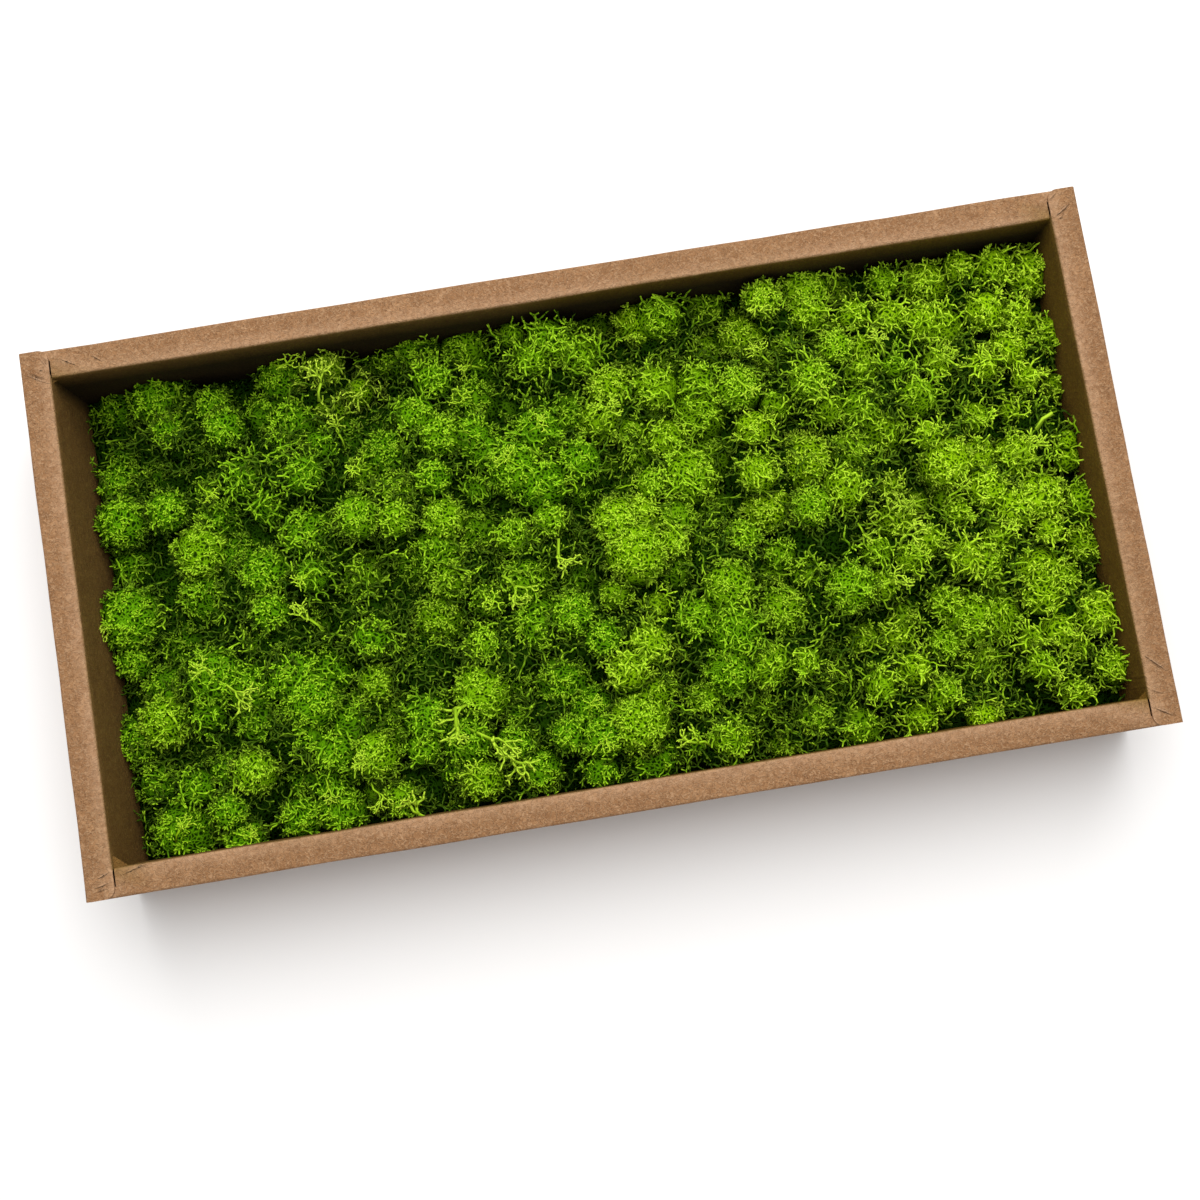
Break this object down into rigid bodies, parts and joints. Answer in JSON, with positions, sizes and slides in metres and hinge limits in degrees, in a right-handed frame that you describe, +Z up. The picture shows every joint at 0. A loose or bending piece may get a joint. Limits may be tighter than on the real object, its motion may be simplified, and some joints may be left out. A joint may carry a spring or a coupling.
{
  "type": "kraft tray of reindeer moss",
  "caption": "Shallow folded kraft card tray, open at the top, packed wall to wall with hummocky tufts of finely branched reindeer moss; rests on its flat underside.",
  "frame": {"origin": "middle of the tray's underside", "axes": "+X along the tray's long side, +Y to its back wall (the upper one in the picture), +Z up out of the open top"},
  "size_m": [0.3, 0.153, 0.045],
  "materials": {
    "kraft_card": "matt brown kraft card with fine fibres",
    "moss": "soft matt green, with yellower tips"
  },
  "bodies": {
    "root": {"kraft_tray": "kraft_card", "moss_tuft_01": "moss", "moss_tuft_02": "moss", "moss_tuft_03": "moss", "moss_tuft_04": "moss", "moss_tuft_05": "moss", "moss_tuft_06": "moss", "moss_tuft_07": "moss", "moss_tuft_08": "moss", "moss_tuft_09": "moss", "moss_tuft_10": "moss", "moss_tuft_11": "moss", "moss_tuft_12": "moss", "moss_tuft_13": "moss", "moss_tuft_14": "moss", "moss_tuft_15": "moss", "moss_tuft_16": "moss", "moss_tuft_17": "moss", "moss_tuft_18": "moss", "moss_tuft_19": "moss", "moss_tuft_20": "moss", "moss_tuft_21": "moss", "moss_tuft_22": "moss", "moss_tuft_23": "moss", "moss_tuft_24": "moss"}
  },
  "joints": []
}
